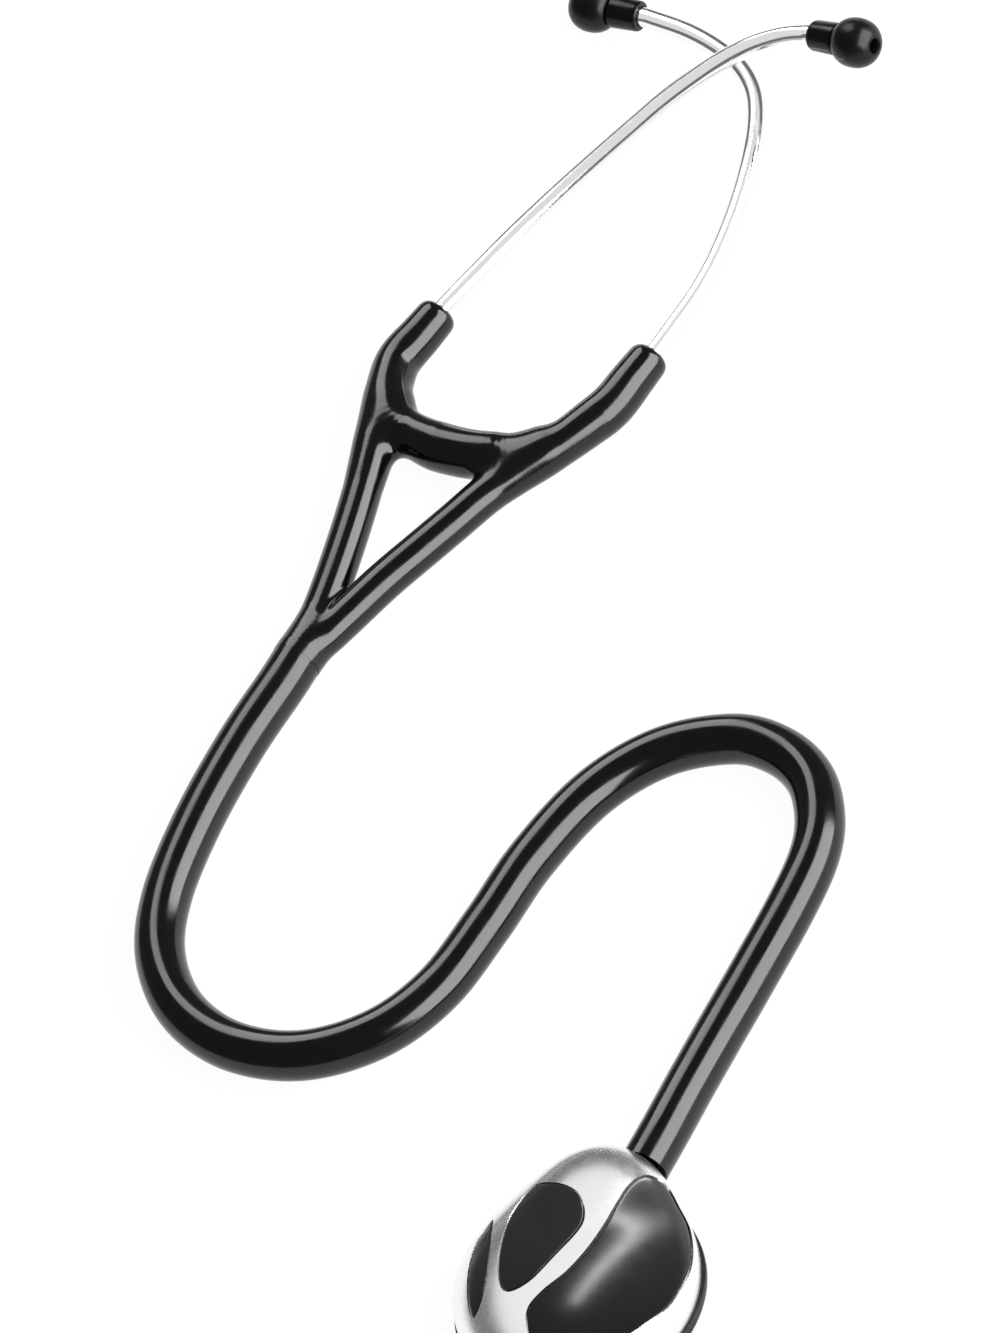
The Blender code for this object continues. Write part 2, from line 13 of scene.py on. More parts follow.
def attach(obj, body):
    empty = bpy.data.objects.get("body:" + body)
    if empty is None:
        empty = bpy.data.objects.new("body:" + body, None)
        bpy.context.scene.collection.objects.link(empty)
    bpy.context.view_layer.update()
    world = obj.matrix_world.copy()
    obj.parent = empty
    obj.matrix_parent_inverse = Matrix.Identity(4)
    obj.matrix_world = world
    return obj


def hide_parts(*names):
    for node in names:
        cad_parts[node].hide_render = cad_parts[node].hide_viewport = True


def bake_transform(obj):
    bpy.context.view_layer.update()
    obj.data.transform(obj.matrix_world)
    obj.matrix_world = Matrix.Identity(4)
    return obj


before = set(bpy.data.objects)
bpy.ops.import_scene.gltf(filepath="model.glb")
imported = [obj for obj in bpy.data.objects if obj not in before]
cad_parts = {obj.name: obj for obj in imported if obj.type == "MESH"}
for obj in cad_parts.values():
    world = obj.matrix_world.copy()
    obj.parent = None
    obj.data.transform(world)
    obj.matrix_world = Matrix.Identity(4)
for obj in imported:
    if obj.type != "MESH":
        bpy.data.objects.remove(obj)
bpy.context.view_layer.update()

MM = 0.001
ROOT = "tubing_and_chestpiece"

# ---------------------------------------------------------------- camera

AZIMUTH, ELEVATION, ROLL = 25.0, 50.0, 25.0
LENS, SENSOR = 1200.0, 36.0
FRAME_HEIGHT = 260.0            # height of the picture at the object
FRAME_CENTRE = (-16.4, 123.3)   # middle of the picture from the origin, to the right and up
CENTRE_DEPTH = -90.0


def picture_axes():
    """Right, up and back vectors of the picture."""
    a, e, r = (math.radians(x) for x in (AZIMUTH, ELEVATION, ROLL))
    back = Vector((math.sin(a) * math.cos(e), -math.cos(a) * math.cos(e), math.sin(e)))
    level = Vector((math.cos(a), math.sin(a), 0.0))
    rise = back.cross(level)
    return level * math.cos(r) - rise * math.sin(r), level * math.sin(r) + rise * math.cos(r), back


def add_camera():
    right, up, back = picture_axes()
    data = bpy.data.cameras.new("camera")
    data.lens = LENS
    data.sensor_width = SENSOR
    distance = FRAME_HEIGHT * LENS / SENSOR
    centre = right * FRAME_CENTRE[0] + up * FRAME_CENTRE[1] + back * CENTRE_DEPTH
    data.clip_start = 0.1
    data.clip_end = 60.0
    camera = bpy.data.objects.new("camera", data)
    bpy.context.scene.collection.objects.link(camera)
    camera.matrix_world = Matrix.Translation((centre + back * distance) * MM) @ Matrix((
        (right.x, up.x, back.x, 0.0), (right.y, up.y, back.y, 0.0), (right.z, up.z, back.z, 0.0),
        (0.0, 0.0, 0.0, 1.0)))
    bpy.context.scene.camera = camera


# ---------------------------------------------------------------- routes, as in the CAD model

HOSE_RADIUS = 5.0
BRANCH_RADIUS = 3.95
HOSE_ROUTE = [
    (11.63, 26.13, 7.5), (15.1, 35.0, 7.2), (19.0, 46.5, 6.2), (23.4, 58.6, 5.3), (28.0, 70.0, 5.0),
    (35.1, 87.6, 5.0), (38.7, 99.5, 5.0), (38.9, 109.0, 5.0), (36.0, 118.3, 5.0), (29.3, 125.5, 5.0),
    (19.6, 129.4, 5.0), (5.3, 127.8, 5.0), (-7.9, 119.4, 5.0), (-19.0, 104.8, 5.0),
    (-26.8, 89.8, 5.0), (-35.4, 75.4, 5.0), (-46.8, 66.0, 5.0), (-61.6, 62.4, 5.0),
    (-76.2, 66.2, 5.0), (-87.2, 75.8, 5.0), (-93.0, 89.2, 5.0), (-93.2, 103.6, 5.0),
    (-88.7, 121.1, 5.0), (-81.6, 139.0, 5.0), (-74.6, 152.8, 5.0), (-72.1, 158.1, 5.0),
]


def catmull_rom(a, b, c, d, t):
    return 0.5 * (2.0 * b + (c - a) * t + (2.0 * a - 5.0 * b + 4.0 * c - d) * t * t
                  + (3.0 * b - a - 3.0 * c + d) * t * t * t)


def smooth_path(points, step, closed=False):
    """Points about one step apart on a smooth curve through the given points."""
    points = [Vector(p) for p in points]
    if closed:
        padded = [points[-1]] + points + [points[0], points[1]]
    else:
        padded = [2 * points[0] - points[1]] + points + [2 * points[-1] - points[-2]]
    dense = []
    for i in range(len(padded) - 3):
        for k in range(24):
            dense.append(catmull_rom(*padded[i:i + 4], k / 24))
    dense.append(padded[-2])
    lengths = [0.0]
    for a, b in zip(dense, dense[1:]):
        lengths.append(lengths[-1] + (b - a).length)
    count = max(2, round(lengths[-1] / step))
    path = []
    j = 0
    for k in range(count + 1):
        target = lengths[-1] * k / count
        while j < len(dense) - 2 and lengths[j + 1] < target:
            j += 1
        span = lengths[j + 1] - lengths[j]
        path.append(dense[j].lerp(dense[j + 1], (target - lengths[j]) / span))
    return path[:-1] if closed else path


def path_length(path):
    return sum((b - a).length for a, b in zip(path, path[1:]))


# ---------------------------------------------------------------- mesh helpers

def add_piece(name, bm, material, sharp=40.0):
    bmesh.ops.recalc_face_normals(bm, faces=bm.faces)
    mesh = bpy.data.meshes.new(name)
    bm.to_mesh(mesh)
    bm.free()
    mesh.shade_smooth()
    mesh.set_sharp_from_angle(angle=math.radians(sharp))
    obj = bpy.data.objects.new(name, mesh)
    bpy.context.scene.collection.objects.link(obj)
    mesh.materials.append(material)
    return obj


def ring_points(centre, run, radius, sides):
    """Circle round a path, started from the side so that it doesn't twist."""
    side = Vector((0.0, 0.0, 1.0)).cross(run).normalized()
    rise = run.cross(side).normalized()
    points = []
    for k in range(sides):
        turn = 2 * math.pi * k / sides
        points.append(centre + (side * math.cos(turn) + rise * math.sin(turn)) * radius)
    return points


def path_runs(path):
    runs = []
    for i in range(len(path)):
        runs.append((path[min(i + 1, len(path) - 1)] - path[max(i - 1, 0)]).normalized())
    return runs


def bridge(bm, loops):
    for a, b in zip(loops, loops[1:]):
        for k in range(len(a)):
            n = (k + 1) % len(a)
            bm.faces.new((a[k], a[n], b[n], b[k]))


def sweep(name, path, radii, material, sides=48, bore=None):
    """Tube along a path with a radius at each point, solid or bored through."""
    runs = path_runs(path)
    bm = bmesh.new()
    outer = []
    for point, run, radius in zip(path, runs, radii):
        outer.append([bm.verts.new(p * MM) for p in ring_points(point, run, radius, sides)])
    bridge(bm, outer)
    if bore is None:
        bm.faces.new(outer[0])
        bm.faces.new(outer[-1])
    else:
        inner = []
        for point, run in zip(path, runs):
            inner.append([bm.verts.new(p * MM) for p in ring_points(point, run, bore, sides)])
        bridge(bm, inner)
        bridge(bm, [outer[0], inner[0]])
        bridge(bm, [outer[-1], inner[-1]])
    return add_piece(name, bm, material)


def rounded(profile, radii, steps=5):
    """Closed profile with each corner rounded to its radius."""
    out = []
    count = len(profile)
    for i, (x, y) in enumerate(profile):
        radius = radii[i] if isinstance(radii, (list, tuple)) else radii
        corner = Vector((x, y))
        before = Vector(profile[i - 1]) - corner
        after = Vector(profile[(i + 1) % count]) - corner
        reach = min(radius, before.length * 0.45, after.length * 0.45)
        if reach < 1e-4 or x < 1e-6:
            out.append((x, y))
            continue
        a = corner + before.normalized() * reach
        b = corner + after.normalized() * reach
        for k in range(steps + 1):
            t = k / steps
            out.append(tuple((1 - t) ** 2 * a + 2 * t * (1 - t) * corner + t * t * b))
    return out


def turned(name, profile, origin, axis, material, steps=96, closed=True):
    """Solid of revolution of (radius, height) points about an axis."""
    bm = bmesh.new()
    turn = Vector(axis).to_track_quat("Z", "Y")
    loops = []
    for radius, height in profile:
        if radius < 1e-6:
            loops.append(bm.verts.new((Vector(origin) + turn @ Vector((0, 0, height))) * MM))
            continue
        ring = []
        for k in range(steps):
            angle = 2 * math.pi * k / steps
            local = Vector((radius * math.cos(angle), radius * math.sin(angle), height))
            ring.append(bm.verts.new((Vector(origin) + turn @ local) * MM))
        loops.append(ring)
    pairs = list(zip(loops, loops[1:] + loops[:1])) if closed else list(zip(loops, loops[1:]))
    for a, b in pairs:
        if isinstance(a, list) and isinstance(b, list):
            bridge(bm, [a, b])
            continue
        if not isinstance(a, list) and not isinstance(b, list):
            continue
        tip, ring = (a, b) if isinstance(b, list) else (b, a)
        for k in range(steps):
            bm.faces.new((tip, ring[k], ring[(k + 1) % steps]))
    return add_piece(name, bm, material)


def cut(obj, cutter):
    """Subtract one closed mesh from another for good."""
    modifier = obj.modifiers.new("cut", "BOOLEAN")
    modifier.operation = "DIFFERENCE"
    modifier.solver = "EXACT"
    modifier.object = cutter
    evaluated = obj.evaluated_get(bpy.context.evaluated_depsgraph_get())
    mesh = bpy.data.meshes.new_from_object(evaluated)
    obj.modifiers.clear()
    obj.data = mesh
    bpy.data.objects.remove(cutter)
    mesh.shade_smooth()
    mesh.set_sharp_from_angle(angle=math.radians(40.0))


def direction(heading, pitch=0.0):
    flat = math.cos(math.radians(pitch))
    return Vector((flat * math.cos(math.radians(heading)),
                   flat * math.sin(math.radians(heading)),
                   math.sin(math.radians(pitch))))


# ---------------------------------------------------------------- materials

def material_base(name, colour, roughness, metallic=0.0):
    material = bpy.data.materials.new(name)
    material.use_nodes = True
    shader = material.node_tree.nodes["Principled BSDF"]
    shader.inputs["Base Color"].default_value = (*colour, 1.0)
    shader.inputs["Roughness"].default_value = roughness
    shader.inputs["Metallic"].default_value = metallic
    return material, material.node_tree, shader


def noise(tree, scale, detail, stretch=(1.0, 1.0, 1.0)):
    """Noise over the object's own coordinates; scale is in features per metre."""
    coordinates = tree.nodes.new("ShaderNodeTexCoord")
    mapping = tree.nodes.new("ShaderNodeMapping")
    mapping.inputs["Scale"].default_value = stretch
    texture = tree.nodes.new("ShaderNodeTexNoise")
    texture.inputs["Scale"].default_value = scale
    texture.inputs["Detail"].default_value = detail
    tree.links.new(coordinates.outputs["Object"], mapping.inputs["Vector"])
    tree.links.new(mapping.outputs["Vector"], texture.inputs["Vector"])
    return texture.outputs["Fac"]


def to_range(tree, value, low, high, start=0.35, end=0.65):
    ramp = tree.nodes.new("ShaderNodeMapRange")
    ramp.inputs["From Min"].default_value = start
    ramp.inputs["From Max"].default_value = end
    ramp.inputs["To Min"].default_value = low
    ramp.inputs["To Max"].default_value = high
    tree.links.new(value, ramp.inputs["Value"])
    return ramp.outputs["Result"]


def add_bump(tree, shader, value, strength, distance):
    bump = tree.nodes.new("ShaderNodeBump")
    bump.inputs["Strength"].default_value = strength
    bump.inputs["Distance"].default_value = distance * MM
    tree.links.new(value, bump.inputs["Height"])
    tree.links.new(bump.outputs["Normal"], shader.inputs["Normal"])


def vary_colour(tree, shader, value, dark, light):
    mix = tree.nodes.new("ShaderNodeMix")
    mix.data_type = "RGBA"
    mix.inputs["A"].default_value = (*dark, 1.0)
    mix.inputs["B"].default_value = (*light, 1.0)
    tree.links.new(value, mix.inputs["Factor"])
    tree.links.new(mix.outputs["Result"], shader.inputs["Base Color"])


def pvc_material():
    """Glossy black soft PVC: shallow orange peel from the mould and a few duller patches."""
    material, tree, shader = material_base("black_pvc", (0.001, 0.001, 0.0011), 0.16)
    shader.inputs["Specular IOR Level"].default_value = 0.5
    tree.links.new(to_range(tree, noise(tree, 220.0, 3.0), 0.12, 0.18), shader.inputs["Roughness"])
    vary_colour(tree, shader, noise(tree, 90.0, 2.0), (0.0006, 0.0006, 0.0007), (0.0016, 0.0016, 0.0017))
    add_bump(tree, shader, noise(tree, 900.0, 2.0), 0.08, 0.04)
    return material


def inlay_material():
    """Black enamel, a little softened by handling."""
    material, tree, shader = material_base("gloss_black", (0.02, 0.02, 0.021), 0.22)
    shader.inputs["Specular IOR Level"].default_value = 0.3
    tree.links.new(to_range(tree, noise(tree, 300.0, 4.0), 0.2, 0.24), shader.inputs["Roughness"])
    vary_colour(tree, shader, noise(tree, 60.0, 2.0), (0.016, 0.016, 0.017), (0.024, 0.024, 0.025))
    add_bump(tree, shader, noise(tree, 200.0, 1.0), 0.02, 0.01)
    return material


def cast_steel_material():
    """Bright satin steel, finely blasted and slightly uneven."""
    material, tree, shader = material_base("satin_steel", (0.9, 0.9, 0.91), 0.36, 1.0)
    tree.links.new(to_range(tree, noise(tree, 700.0, 5.0), 0.35, 0.38), shader.inputs["Roughness"])
    vary_colour(tree, shader, noise(tree, 150.0, 3.0), (0.89, 0.89, 0.9), (0.91, 0.91, 0.92))
    add_bump(tree, shader, noise(tree, 2400.0, 2.0), 0.015, 0.003)
    return material


def cast_steel_material():
    """Bright satin steel, finely blasted and slightly uneven."""
    material, tree, shader = material_base("satin_steel", (0.92, 0.92, 0.93), 0.26, 1.0)
    tree.links.new(to_range(tree, noise(tree, 700.0, 5.0), 0.24, 0.29), shader.inputs["Roughness"])
    vary_colour(tree, shader, noise(tree, 150.0, 3.0), (0.91, 0.91, 0.92), (0.93, 0.93, 0.94))
    add_bump(tree, shader, noise(tree, 6000.0, 2.0), 0.03, 0.005)
    return material


def tube_steel_material():
    """Polished drawn tube, with faint wiping marks."""
    material, tree, shader = material_base("polished_steel", (0.93, 0.93, 0.94), 0.12, 1.0)
    tree.links.new(to_range(tree, noise(tree, 400.0, 5.0), 0.09, 0.15), shader.inputs["Roughness"])
    add_bump(tree, shader, noise(tree, 2500.0, 3.0), 0.04, 0.01)
    return material


def rubber_material(name, colour, roughness, grain):
    material, tree, shader = material_base(name, colour, roughness)
    shader.inputs["Specular IOR Level"].default_value = 0.25
    tree.links.new(to_range(tree, noise(tree, 500.0, 4.0), roughness - 0.06, roughness + 0.06),
                   shader.inputs["Roughness"])
    lighter = tuple(c * 1.6 for c in colour)
    vary_colour(tree, shader, noise(tree, 120.0, 3.0), colour, lighter)
    add_bump(tree, shader, noise(tree, grain, 3.0), 0.15, 0.03)
    return material


def diaphragm_material():
    """Grey glass-fibre sheet with its weave just showing."""
    material, tree, shader = material_base("diaphragm_sheet", (0.5, 0.5, 0.51), 0.38)
    coordinates = tree.nodes.new("ShaderNodeTexCoord")
    across = tree.nodes.new("ShaderNodeTexWave")
    along = tree.nodes.new("ShaderNodeTexWave")
    along.bands_direction = "Y"
    for wave in (across, along):
        wave.inputs["Scale"].default_value = 520.0
        tree.links.new(coordinates.outputs["Object"], wave.inputs["Vector"])
    weave = tree.nodes.new("ShaderNodeMath")
    weave.operation = "MULTIPLY"
    tree.links.new(across.outputs["Fac"], weave.inputs[0])
    tree.links.new(along.outputs["Fac"], weave.inputs[1])
    vary_colour(tree, shader, weave.outputs[0], (0.46, 0.46, 0.47), (0.55, 0.55, 0.56))
    add_bump(tree, shader, weave.outputs[0], 0.1, 0.02)
    return material


# ---------------------------------------------------------------- chestpiece

RIM_RADIUS = 25.1
RIM_HEIGHT = 4.0
SKIRT_STEP = 0.6
DOME_HEIGHT = 15.5
NECK_REACH, NECK_ANGLE, NECK_SPREAD = 4.9, 74.0, 30.0
SHOULDER_ANGLE, SHOULDER_SPREAD = 80.0, 30.0
CROWN_POWER, SHOULDER_POWER = 2.0, 1.7
STEM_ANGLE, STEM_HEIGHT = 66.0, 7.5
HOSE_START = 28.6
DIAPHRAGM_RADIUS = 20.0
INLAY_DEPTH = 1.0

OVAL_INLAY = [
    (-6.8, 17.8), (-3.9, 17.0), (0.4, 15.0), (3.2, 12.4), (4.7, 8.3), (4.1, 4.2), (-0.3, -1.8),
    (-5.1, -6.7), (-9.8, -8.0), (-12.0, -5.2), (-12.7, 1.4), (-11.8, 10.6), (-9.4, 16.0),
]
BROAD_INLAY = [
    (14.6, 19.2), (12.2, 15.6), (10.5, 11.0), (8.5, 5.4), (5.7, -0.6), (2.0, -5.5), (-2.6, -9.0),
    (-5.6, -12.0), (-5.9, -15.6), (-4.4, -19.2), (0.0, -21.4), (6.0, -21.0), (11.6, -18.4),
    (16.6, -14.5), (20.9, -9.6), (23.4, -3.0), (23.9, 3.0), (22.6, 9.8), (20.2, 14.8), (17.6, 19.2),
]
SIDE_INLAY = [
    (-15.9, 12.6), (-17.4, 10.8), (-19.0, 7.4), (-19.8, 1.2), (-19.6, -4.5), (-18.6, -9.6),
    (-17.3, -10.0), (-15.5, -7.0), (-14.7, -1.0), (-15.0, 6.0),
]


def angle_weight(angle, middle, spread):
    offset = (angle - middle + 180.0) % 360.0 - 180.0
    return math.exp(-(offset / spread) ** 2)


def rim_radius(angle):
    return RIM_RADIUS + NECK_REACH * angle_weight(angle, NECK_ANGLE, NECK_SPREAD)


def dome_height(x, y):
    """Height of the dome's surface over a point."""
    angle = math.degrees(math.atan2(y, x))
    fraction = min(1.0, math.hypot(x, y) / rim_radius(angle))
    power = CROWN_POWER + SHOULDER_POWER * angle_weight(angle, SHOULDER_ANGLE, SHOULDER_SPREAD)
    return RIM_HEIGHT + DOME_HEIGHT * max(0.0, 1.0 - fraction ** power) ** (1.0 / power)


def dome_normal(x, y):
    step = 0.05
    slope_x = (dome_height(x + step, y) - dome_height(x - step, y)) / (2 * step)
    slope_y = (dome_height(x, y + step) - dome_height(x, y - step)) / (2 * step)
    return Vector((-slope_x, -slope_y, 1.0)).normalized()


def inset_outline(outline, inset, step=0.5):
    """Fine closed outline drawn inwards by an inset."""
    path = smooth_path([(x, y, 0.0) for x, y in outline], step, closed=True)
    area = sum(a.x * b.y - b.x * a.y for a, b in zip(path, path[1:] + path[:1]))
    inward = math.copysign(inset, area)
    count = len(path)
    out = []
    for i, point in enumerate(path):
        run = (path[(i + 1) % count] - path[i - 1]).normalized()
        out.append(Vector((point.x - run.y * inward, point.y + run.x * inward)))
    return out


def make_inlay(name, outline, centre, material):
    """Inlay on the dome with a rounded edge: rings drawn in from the outline to a centre."""
    gap, edge = 0.16, 0.45
    rims = []
    for k in range(5):
        turn = math.pi / 2 * k / 4
        inset = gap + edge * (1 - math.cos(turn))
        rims.append((inset_outline(outline, inset), edge * (1 - math.sin(turn))))
    core = rims[-1][0]
    middle = Vector(centre)
    for k in range(1, 24):
        rims.append(([middle + (p - middle) * (1 - k / 24) for p in core], 0.0))
    bm = bmesh.new()
    loops = []
    wall = []
    for x, y in rims[0][0]:
        normal = dome_normal(x, y)
        wall.append(bm.verts.new((Vector((x, y, dome_height(x, y))) - normal * INLAY_DEPTH) * MM))
    loops.append(wall)
    for points, drop in rims:
        ring = []
        for x, y in points:
            surface = Vector((x, y, dome_height(x, y)))
            ring.append(bm.verts.new((surface - dome_normal(x, y) * drop) * MM))
        loops.append(ring)
    bridge(bm, loops)
    top = bm.verts.new(Vector((*middle, dome_height(*middle))) * MM)
    last = loops[-1]
    for k in range(len(last)):
        bm.faces.new((last[k], last[(k + 1) % len(last)], top))
    floor_middle = Vector((*middle, dome_height(*middle) - INLAY_DEPTH))
    floor_rings = [wall]
    for k in range(1, 8):
        ring = []
        for p in rims[0][0]:
            x, y = middle + (p - middle) * (1 - k / 8)
            surface = Vector((x, y, dome_height(x, y)))
            ring.append(bm.verts.new((surface - dome_normal(x, y) * INLAY_DEPTH) * MM))
        floor_rings.append(ring)
    bridge(bm, floor_rings)
    low = bm.verts.new(floor_middle * MM)
    for k in range(len(wall)):
        bm.faces.new((floor_rings[-1][k], floor_rings[-1][(k + 1) % len(wall)], low))
    return add_piece(name, bm, material, sharp=60.0)


def pocket_cutter(name, outline, material):
    """Cutter for an inlay's pocket: the outline, from just under the inlay to above the dome."""
    rim = inset_outline(outline, 0.0)
    bm = bmesh.new()
    middle = sum(rim, Vector((0.0, 0.0))) / len(rim)
    loops = [[bm.verts.new((p.x * MM, p.y * MM, 26.0 * MM)) for p in rim]]
    for k in range(12):
        ring = []
        for p in rim:
            x, y = middle + (p - middle) * (1 - k / 12)
            ring.append(bm.verts.new((x * MM, y * MM, (dome_height(x, y) - pocket_drop(x, y)) * MM)))
        loops.append(ring)
    bridge(bm, loops)
    bm.faces.new(loops[0])
    low = bm.verts.new(Vector((*middle, dome_height(*middle) - pocket_drop(*middle))) * MM)
    for k in range(len(rim)):
        bm.faces.new((loops[-1][k], loops[-1][(k + 1) % len(rim)], low))
    return add_piece(name, bm, material)


def pocket_drop(x, y):
    """Depth of a pocket measured straight down, so that it clears the inlay on the slope too."""
    return (INLAY_DEPTH + 0.2) / max(0.25, dome_normal(x, y).z)


def make_chest_shell(material):
    """Metal body: fine dome, rounded rim, hollow bell below, pockets, stem bore and hose seat."""
    sectors = 192
    fractions = [math.sin(math.pi / 2 * k / 40) for k in range(1, 41)]
    bm = bmesh.new()
    loops = []
    for fraction in fractions:
        ring = []
        for k in range(sectors):
            angle = 360.0 * k / sectors
            spot = direction(angle) * rim_radius(angle) * fraction
            height = dome_height(spot.x, spot.y)
            spot = direction(angle) * min(spot.length, rim_radius(angle) - SKIRT_STEP)
            ring.append(bm.verts.new((spot.x * MM, spot.y * MM, height * MM)))
        loops.append(ring)
    lip = DIAPHRAGM_RADIUS + 1.4
    below = [(lip, RIM_HEIGHT), (lip, 2.7), (lip - 2.0, 2.7), (lip - 2.2, 3.6), (12.0, 4.4), (2.4, 5.4)]
    for radius, height in below:
        ring = []
        for k in range(sectors):
            ring.append(bm.verts.new((direction(360.0 * k / sectors) * radius
                                      + Vector((0, 0, height))) * MM))
        loops.append(ring)
    bridge(bm, loops)
    crown = bm.verts.new((0.0, 0.0, (RIM_HEIGHT + DOME_HEIGHT) * MM))
    bell = bm.verts.new((0.0, 0.0, 9.0 * MM))
    for k in range(sectors):
        n = (k + 1) % sectors
        bm.faces.new((crown, loops[0][k], loops[0][n]))
        bm.faces.new((bell, loops[-1][n], loops[-1][k]))
    shell = add_piece("chest_shell", bm, material)
    for name, outline in (("oval", OVAL_INLAY), ("broad", BROAD_INLAY), ("side", SIDE_INLAY)):
        cut(shell, pocket_cutter(name + "_pocket", outline, material))
    axis = direction(STEM_ANGLE)
    centre = (0.0, 0.0, STEM_HEIGHT)
    bore = [(0.0, 0.5), (2.5, 0.5), (2.5, 40.0), (0.0, 40.0)]
    cut(shell, turned("stem_bore", bore, centre, axis, material, steps=48, closed=False))
    seat_radius = HOSE_RADIUS + 0.12
    seat = [(0.0, HOSE_START - 0.3), (seat_radius, HOSE_START - 0.3), (seat_radius, 40.0), (0.0, 40.0)]
    cut(shell, turned("hose_seat", seat, centre, axis, material, steps=64, closed=False))
    return shell


def make_chestpiece(steel, gloss, rubber, soft, plate):
    shell = make_chest_shell(steel)
    finish_piece(shell, ROOT, "steel", "chest_body")
    for name, node, outline, centre in (
            ("oval_pad", "oval_inlay", OVAL_INLAY, (-4.5, 3.6)),
            ("broad_pad", "broad_inlay", BROAD_INLAY, (13.5, -6.0)),
            ("side_pad", "side_inlay", SIDE_INLAY, (-17.6, -0.6))):
        finish_piece(make_inlay(name, outline, centre, gloss), ROOT, "inlay_black", node)
    outer = RIM_RADIUS + 0.15
    lip = DIAPHRAGM_RADIUS + 1.7
    rim = rounded([(lip, 3.78), (outer, 3.78), (outer, 1.9), (outer - 1.3, 0.8), (21.0, 0.8), (21.0, 1.4),
                   (lip, 1.4)], [0.1, 0.35, 0.9, 0.5, 0.2, 0.1, 0.1])
    finish_piece(turned("nonchill_rim", rim, (0, 0, 0), (0, 0, 1), rubber, steps=160),
                 ROOT, "rim_rubber", "rim_ring")
    fold = rounded([(20.3, 0.85), (20.62, 0.85), (20.7, 1.7), (21.35, 1.7), (21.35, 2.4), (20.3, 2.4)], 0.12)
    finish_piece(turned("surround_fold", fold, (0, 0, 0), (0, 0, 1), soft, steps=160),
                 ROOT, "rim_rubber", "surround")
    edge = DIAPHRAGM_RADIUS
    disc = [(0.0, 0.0), (edge * 0.33, 0.0), (edge * 0.66, 0.0), (edge - 0.5, 0.0), (edge - 0.3, 0.02),
            (edge - 0.1, 0.1), (edge, 0.25), (edge, 0.5), (edge - 0.4, 0.5), (edge * 0.5, 0.5), (0.0, 0.5)]
    finish_piece(turned("diaphragm_disc", disc, (0, 0, 0), (0, 0, 1), plate, steps=160, closed=False),
                 "diaphragm", "diaphragm_plate", "diaphragm")
    end = HOSE_START - 0.6
    stem = rounded([(1.5, 7.0), (2.3, 7.0), (2.3, end), (1.5, end)], 0.2)
    finish_piece(turned("stem_spout", stem, (0, 0, STEM_HEIGHT), direction(STEM_ANGLE), steel, steps=64),
                 ROOT, "steel", "stem")


def finish_piece(obj, body, slot, *nodes):
    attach(obj, body)
    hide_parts(*nodes)
    return obj


# ---------------------------------------------------------------- hose and headset

def make_hose(material):
    path = smooth_path(HOSE_ROUTE, 1.5)
    hose = sweep("hose_tube", path, [HOSE_RADIUS] * len(path), material, sides=64)
    finish_piece(hose, ROOT, "tubing", "hose")


LEFT = {
    "mouth": Vector((-50.0, 241.2, 5.2)),
    "axis": direction(54.0, 3.0),
    "limb": [(-73.6, 157.0, 5.0), (-71.1, 162.3, 5.0), (-68.48, 168.48, 5.0), (-66.51, 176.29, 5.0),
             (-64.65, 185.49, 5.0), (-63.3, 193.02, 5.0), (-62.1, 200.8, 5.0), (-61.0, 208.5, 5.0),
             (-60.1, 215.5, 5.0), (-59.4, 222.0, 5.0)],
    "radii": [(0.0, 3.2), (0.06, 3.7), (0.12, BRANCH_RADIUS), (0.5, BRANCH_RADIUS), (0.62, 4.5),
              (0.75, 4.7), (0.9, 4.45), (1.0, 4.1)],
    "seam": Vector((-54.0, 217.5, 5.0)),
    "seam_heading": 69.5,
    "flex": 9.9,
    "route": [
        (-42.9, 249.5, 5.9), (-35.2, 257.4, 7.2), (-24.1, 266.9, 9.6), (-12.5, 275.5, 12.6),
        (-5.6, 280.1, 14.6), (1.5, 284.0, 16.5), (7.2, 286.5, 18.0), (12.4, 287.9, 19.4),
        (16.7, 288.4, 20.4), (20.9, 288.2, 21.4),
    ],
    "collar": Vector((26.9, 286.7, 22.6)),
    "tip_axis": direction(-25.0, 10.5),
}
RIGHT = {
    "mouth": Vector((-5.4, 225.6, 5.0)),
    "axis": direction(58.0, 0.0),
    "limb": [(-73.0, 155.2, 5.0), (-69.9, 160.0, 5.0), (-66.2, 164.15, 5.0), (-62.53, 168.26, 5.0),
             (-55.54, 176.1, 5.0), (-48.2, 183.35, 5.0), (-42.53, 188.91, 5.0), (-36.73, 194.65, 5.0),
             (-31.47, 198.7, 5.0), (-25.4, 203.0, 5.0), (-17.6, 209.3, 5.0)],
    "radii": [(0.0, 3.2), (0.06, 3.7), (0.12, BRANCH_RADIUS), (0.58, BRANCH_RADIUS), (0.74, 4.3),
              (0.84, 4.6), (0.92, 4.45), (1.0, 4.1)],
    "seam": Vector((-22.0, 211.4, 5.0)),
    "seam_heading": 46.0,
    "flex": 9.2,
    "route": [
        (-1.6, 232.2, 5.0), (2.0, 239.0, 4.9), (5.0, 246.6, 4.8), (7.4, 255.0, 4.8),
        (9.2, 263.6, 4.8), (10.3, 272.2, 4.8), (10.6, 280.2, 4.8), (9.5, 287.6, 4.8),
        (6.2, 294.2, 4.8), (1.0, 299.6, 4.8), (-5.6, 304.4, 4.9),
    ],
    "collar": Vector((-15.6, 309.3, 5.0)),
    "tip_axis": direction(161.0, 0.0),
}
YOKE_BAR = [
    (-57.3, 217.4, 5.0), (-55.4, 213.4, 5.1), (-51.8, 210.0, 5.2), (-46.6, 207.0, 5.2),
    (-39.4, 204.5, 5.2), (-33.0, 203.8, 5.1), (-27.6, 205.2, 5.0),
]
